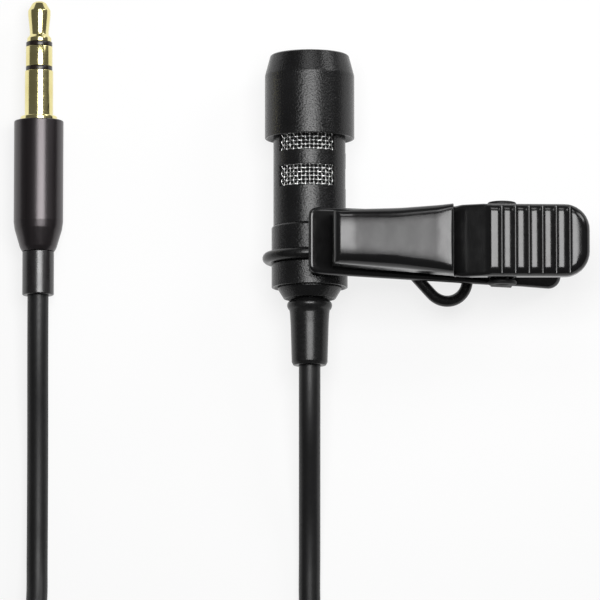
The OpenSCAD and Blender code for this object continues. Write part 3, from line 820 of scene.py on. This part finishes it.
def make_lever():
    """The upper lever, hollow underneath: its raised face, the dip, the ribbed pad and the lugs."""
    front_top, front_foot, end = 2.95, 2.75, 34.16
    front_edge, end_edge, corner = 0.9, 1.05, 3.1
    wall, top_wall, hollow_edge, hollow_low = 0.8, 1.05, 0.4, 11.4
    lean_end = 7  # where the side walls no longer lean forward
    tooth = 0.3

    def half_width(x):
        return narrowed(by_knots(x, LEVER_WIDTHS), x - (end - corner), corner)

    def radius(x):
        return float(by_knots(x, LEVER_EDGES))

    # stations, closer together where the top turns
    shares = edge_steps(5)
    stations = [front_top + front_edge * s for s in shares]
    stations += [*np.arange(4.1, 16.4, 0.4), *np.arange(16.4, 17.3, 0.1)]
    stations += [*np.arange(17.3, 17.65, 0.034), 17.64, *np.arange(17.75, 22.9, 0.15)]
    for g in GROOVES:
        stations += [g + GROOVE_HALF * k / 6 for k in range(-6, 7)] + [g + GROOVE_PITCH / 2]
    stations += [end - end_edge * s for s in shares]
    x, y = slab_grid(in_order(stations, front_top, end, 0.015), half_width, radius, 30)

    # the top
    plan = np.linspace(front_top, end, 400)
    bend = end - corner * (1 - np.sin(np.linspace(0, np.pi / 2, 40)))
    plan = np.unique(np.concatenate([plan, bend]))
    widths = np.array([half_width(v) for v in plan])
    d = edge_distance(x, y, plan, widths)
    z = by_knots(x, LEVER_TOP) - roll_off(d, np.vectorize(radius)(x))
    share = y / np.vectorize(half_width)(x)
    z = z - FACE_CROWN * share**2 * by_knots(x, CROWN_SHARES)
    z = ribbed(x, z, d)
    outer = clip_place(x, y, z)

    # the hollow
    xi = np.clip(x, front_top + wall, end - wall)
    scale = np.array([(half_width(v) - wall) / half_width(v) for v in xi[:, 0]])
    room = np.vectorize(half_width)(xi) - wall
    yi = np.clip(y * scale[:, None], -room, room)
    hollow_d = edge_distance(xi, yi, plan, widths) - wall
    zi = by_knots(xi, LEVER_TOP) - top_wall - roll_off(hollow_d, hollow_edge)
    inner = clip_place(xi, yi, np.maximum(zi, hollow_low))

    # the side walls, down to the rim and back up inside
    edge_x, edge_y, edge_z, inner_x, inner_y = (take_border(grid) for grid in (x, y, z, xi, yi))
    lean = np.clip((lean_end - edge_x) / (lean_end - front_top), 0, 1)
    foot_x = edge_x - (front_top - front_foot) * lean
    teeth = tooth * (1 - np.abs((edge_y % 1) * 2 - 1))
    rim = by_knots(foot_x, LEVER_RIM) + np.where(edge_x < front_top + 1e-4, teeth, 0)
    loops = [
        clip_place(edge_x + (foot_x - edge_x) * t, edge_y, edge_z + (rim - edge_z) * t)
        for t in (0.12, 0.3, 0.55, 0.8, 0.96)
    ]
    inner_foot = inner_x - (edge_x - foot_x) * 0.9
    for t in (0.15, 0.85):
        rim_x = foot_x + (inner_foot - foot_x) * t * 0.999
        loops.append(clip_place(rim_x, edge_y + (inner_y - edge_y) * t, rim))
    shell = grid_solid(outer, inner, loops)

    lug_r, lug_top = 1.6, 12.9
    lug = [
        (HINGE_X + lug_r * math.sin(a), HINGE_Z - lug_r * math.cos(a))
        for a in np.radians(np.arange(-90, 91, 10))
    ]
    lug += [(HINGE_X + lug_r, lug_top), (HINGE_X - lug_r, lug_top)]
    lugs = [plate(lug, side * 3.5, side * 4.2, 0.1) for side in (-1, 1)]
    lever = joined([shell, *lugs])
    piece("clip_jaw_lever", *lever, "clip_enamel", "clip_lever", ["clip_lever"])


def make_base():
    """The lower lever: the sloping tongue with its bent end, and the ears of the hinge."""
    start, bend, end = -0.14, 25.83, 31.0
    corner, nose, band = 1.7, 1.1, 0.6
    top_edge, bottom_edge, smoothing = 0.55, 0.16, 1.2
    over = smooth_line(
        [(-3, base_over(-3)), (bend, base_over(bend)), (end, 0.93), (end + 3, -0.8)], smoothing
    )
    under = smooth_line(
        [(-3, base_under(-3)), (bend, base_under(bend)), (end, 0.0), (end + 3, -1.73)], smoothing
    )

    def half_width(x):
        w = by_knots(x, [(0.4, 4.12), (21.68, 4.45), (40, 4.45)])
        w = narrowed(w, x - (end - corner), corner)
        return narrowed(w, start + nose - x, nose)

    shares = edge_steps()
    stations = [start + band * s for s in shares] + [*np.arange(0.4, 28.4, 0.45)]
    stations += [*np.arange(28.4, 30.4, 0.2)] + [end - band * s for s in shares]
    x, y = slab_grid(in_order(stations, start, end, 0.012), half_width, lambda x: band, 12)
    plan = np.concatenate(
        [
            start + nose * (1 - np.cos(np.linspace(0, np.pi / 2, 30))),
            np.linspace(0.5, end - corner, 60),
            end - corner + corner * np.sin(np.linspace(0.02, np.pi / 2, 40)),
        ]
    )
    d = edge_distance(x, y, plan, np.array([half_width(v) for v in plan]))
    outer = clip_place(x, y, over(x) - roll_off(d, top_edge))
    inner = clip_place(x, y, np.maximum(under(x) + roll_off(d, bottom_edge), 0.0))
    a, b = take_border(outer), take_border(inner)
    slab = grid_solid(outer, inner, [a + (b - a) * t for t in (0.35, 0.7)])
    piece("clip_base_lever", *slab, "clip_enamel", "clip_base", ["clip_base"])

    ear_r, neck_top, neck_foot, sunk = 1.78, 1.6, 1.3, 0.1
    ear = [
        (HINGE_X + ear_r * math.cos(t), HINGE_Z + ear_r * math.sin(t))
        for t in np.radians(np.arange(0, 360, 10))
    ]
    left, right = HINGE_X - neck_foot, HINGE_X + neck_foot
    neck = [
        (left, base_under(left) + sunk), (HINGE_X - neck_top, HINGE_Z),
        (HINGE_X + neck_top, HINGE_Z), (right, base_under(right) + sunk),
    ]
    ears = []
    for side in (-1, 1):
        ears.append(plate(ear, side * 4.55, side * 5.1, 0.24))
        ears.append(plate(neck, side * 4.3, side * 4.66, 0.12))
    piece("clip_ears", *joined(ears), "pressed_edge", "clip_base", slot="clip_enamel")


def make_pin():
    """The rivet through the ears, with its two heads."""
    origin = (MIC_X + HINGE_X, CLIP_Y, HINGE_Z)
    corners = [
        (-5.24, 0), (-5.22, 0.5, 0.4), (-5.08, 0.95, 0.1), (-5.08, 0.8),
        (5.08, 0.8), (5.08, 0.95, 0.1), (5.22, 0.5, 0.4), (5.24, 0),
    ]
    piece(
        "hinge_rivet", *turned(corners, origin, closed=False, around=40),
        "pressed_edge", "clip_base", ["hinge_pin"], slot="black_wire",
    )


def make_spring():
    """A wound spring round the pin, one arm on each lever."""
    radius, wire_r, wide, turns, turn_points = 1.5, 0.25, 1.7, 6.5, 20
    arm_x, arm_run, clear, high_z = 18.8, 1.5, 0.1, 10.75
    low_z = base_over(arm_x) + wire_r + clear
    path = [(arm_x, -wide, low_z), (arm_x + arm_run, -wide, low_z - 0.2)]
    for k in range(int(turns * turn_points) + 1):
        a = -math.pi / 2 + 2 * math.pi * k / turn_points
        path.append(
            (
                HINGE_X + radius * math.cos(a),
                -wide + 2 * wide * k / (turns * turn_points),
                HINGE_Z + radius * math.sin(a),
            )
        )
    path += [(arm_x + arm_run, wide, 10.65), (arm_x, wide, high_z)]
    path = [(px + MIC_X, py + CLIP_Y, pz) for px, py, pz in path]
    obj = piece(
        "spring_coil", *wire(path, wire_r, 8), "crimp_steel", None,
        ["torsion_spring"], sharp=80,
    )
    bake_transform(obj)


def make_ring():
    """The split ring round the collar, with a straight foot under the base lever."""
    station, radius, foot = 25.27, 5.1, 6
    lift, sweep = math.radians(71), math.radians(309)
    foot_points, ring_steps = 7, 72
    first = np.array(about(MIC, station, radius, lift))
    tangent = np.array((math.sin(lift), 0, -math.cos(lift)))
    path = [first + tangent * foot * (1 - k / foot_points) for k in range(foot_points)]
    for k in range(ring_steps + 1):
        path.append(about(MIC, station, radius, lift + sweep * k / ring_steps))
    piece("ring_wire", *wire(path, WIRE_R), "black_wire", "clip_base", ["mic_ring"], sharp=80)


def make_loop():
    """The wire loop under the base lever that holds a bight of the cord."""
    radius, short_leg, long_leg, last_turn = 2.75, 3.55, 7.2, 135
    flat = [(radius, short_leg - short_leg * k / 5) for k in range(5)]
    flat += [
        (radius * math.cos(a), radius * math.sin(a))
        for a in np.radians(np.arange(0, -last_turn - 1, -7.5))
    ]
    a = math.radians(-last_turn)
    way = np.array((math.sin(a), -math.cos(a)))
    last = np.array(flat[-1])
    flat += [tuple(last + way * long_leg * k / 6) for k in range(1, 7)]
    x0, y0 = 17 / math.cos(SLOPE), -3.84
    path = []
    for u, v in flat:
        along = x0 + u
        path.append(
            (
                MIC_X + along * math.cos(SLOPE) - WIRE_R * math.sin(SLOPE),
                CLIP_Y + y0 + v,
                base_under(0) - along * math.sin(SLOPE) - WIRE_R * math.cos(SLOPE),
            )
        )
    piece("loop_wire", *wire(path, WIRE_R), "black_wire", "clip_base", ["cable_loop"], sharp=80)


make_lever()
make_base()
make_pin()
make_spring()
make_ring()
make_loop()

# ---------------------------------------------------------------- plug
# name, node, look, whether the outline is closed, corners
PLUG_ROWS = [
    ("contact_tip", "plug_tip", "gold_contact", False, [
        (-0.2, 0), (-0.2, 0.5, 0.2), (0.02, 0.85, 0.25), (0.95, 1.4, 0.25), (1.5, 1.39, 0.3),
        (3.6, 1.17, 0.5), (4.0, 1.17, 0.2), (4.4, 1.5, 0.15), (4.88, 1.5, 0.05), (4.88, 0),
    ]),
    ("band_front", "plug_insulator_front", "dark_insulator", True, [
        (4.92, 0.4), (4.92, 1.62, 0.05), (5.43, 1.62, 0.05), (5.43, 0.4),
    ]),
    ("contact_ring", "plug_ring", "gold_contact", True, [
        (5.47, 0.6), (5.47, 1.65, 0.06), (7.95, 1.65, 0.06), (7.95, 0.6),
    ]),
    ("band_rear", "plug_insulator_rear", "dark_insulator", True, [
        (7.97, 0.8), (7.97, 1.64, 0.05), (8.5, 1.64, 0.05), (8.5, 0.8),
    ]),
    ("contact_sleeve", "plug_sleeve", "gold_contact", True, [
        (8.52, 1.0), (8.52, 1.75, 0.07), (14.2, 1.75, 0.04), (14.2, 2.27, 0.12),
        (14.75, 2.27, 0.05), (14.75, 1.0),
    ]),
    ("barrel", "plug_housing", "plug_barrel", True, [
        (14.77, 1.9), (14.77, 3.05, 0.14), (27.35, 3.05, 1.2), (28.3, 2.92, 1.5),
        (30.5, 2.27, 1.0), (31.02, 2.0, 0.15), (31.02, 1.5), (30.0, 1.5), (15.2, 1.9),
    ]),
    ("barrel_neck", "plug_neck", "neck_metal", True, [
        (31.07, 1.34), (31.07, 1.95, 0.08), (36.45, 1.95, 0.16), (36.45, 1.34, 0.03),
    ]),
]


def make_plug():
    """The plug's turned pieces."""
    made = []
    for name, node, look, closed, corners in PLUG_ROWS:
        shape = turned(corners, PLUG, closed=closed, around=80)
        slot = "plug_barrel" if look == "neck_metal" else look
        made.append(piece(name, *shape, look, "mic", [node], slot=slot))
    return made


plug_pieces = make_plug()


# ---------------------------------------------------------------- floor, lights and view
def make_floor():
    """A pale floor with the object's shadow, near white to the camera and in reflections."""
    half, grey, seen_share = 1.5, 0.9, 0.8
    mesh = bpy.data.meshes.new("floor")
    corners = [(-half, -half, 0), (half, -half, 0), (half, half, 0), (-half, half, 0)]
    mesh.from_pydata(corners, [], [(0, 1, 2, 3)])
    obj = linked("floor", mesh)
    material = bpy.data.materials.new("floor")
    material.use_nodes = True
    tree = material.node_tree
    tree.nodes.clear()
    out = tree.nodes.new("ShaderNodeOutputMaterial")
    diffuse = tree.nodes.new("ShaderNodeBsdfDiffuse")
    diffuse.inputs["Color"].default_value = (grey, grey, grey, 1)
    glow = tree.nodes.new("ShaderNodeEmission")
    glow.inputs["Strength"].default_value = 1.0
    path = tree.nodes.new("ShaderNodeLightPath")
    seen = path.outputs["Is Camera Ray"]
    for ray in ("Is Glossy Ray", "Is Transmission Ray"):
        both = tree.nodes.new("ShaderNodeMath")
        both.operation = "ADD"
        tree.links.new(seen, both.inputs[0])
        tree.links.new(path.outputs[ray], both.inputs[1])
        seen = both.outputs[0]
    share = tree.nodes.new("ShaderNodeMath")
    share.operation = "MULTIPLY"
    share.use_clamp = True
    tree.links.new(seen, share.inputs[0])
    share.inputs[1].default_value = seen_share
    mix = tree.nodes.new("ShaderNodeMixShader")
    tree.links.new(share.outputs[0], mix.inputs[0])
    tree.links.new(diffuse.outputs[0], mix.inputs[1])
    tree.links.new(glow.outputs[0], mix.inputs[2])
    tree.links.new(mix.outputs[0], out.inputs["Surface"])
    mesh.materials.append(material)


def make_world(level):
    """An even grey sky that the camera sees as white."""
    world = bpy.data.worlds.new("studio")
    bpy.context.scene.world = world
    world.use_nodes = True
    tree = world.node_tree
    shade = tree.nodes["Background"]
    shade.inputs["Color"].default_value = (level, level, level, 1)
    shade.inputs["Strength"].default_value = 1.0
    white = tree.nodes.new("ShaderNodeBackground")
    white.inputs["Color"].default_value = (1, 1, 1, 1)
    path = tree.nodes.new("ShaderNodeLightPath")
    mix = tree.nodes.new("ShaderNodeMixShader")
    tree.links.new(path.outputs["Is Camera Ray"], mix.inputs[0])
    tree.links.new(shade.outputs[0], mix.inputs[1])
    tree.links.new(white.outputs[0], mix.inputs[2])
    tree.links.new(mix.outputs[0], tree.nodes["World Output"].inputs["Surface"])


def area_light(name, at, aim, size, power):
    """A soft box at `at`, turned to `aim`. Its power is in watts."""
    data = bpy.data.lights.new(name, "AREA")
    data.shape = "RECTANGLE"
    data.size, data.size_y = size[0] * MM, size[1] * MM
    data.energy = power
    obj = linked(name, data)
    obj.visible_camera = False
    place = Vector(at) * MM
    obj.location = place
    obj.rotation_euler = (Vector(aim) * MM - place).to_track_quat("-Z", "Y").to_euler()


make_floor()
make_world(0.12)
area_light("key", (-7, 19, 160), (-7, 19, 0), (102, 74), 0.2255)
area_light("side", (330, 260, 260), (-5, 0, 5), (160, 220), 0.6)
area_light("back", (-14, 255, 262), (-14, 10, 5), (170, 110), 0.2)

settings = bpy.context.scene.view_settings
settings.view_transform = "Standard"
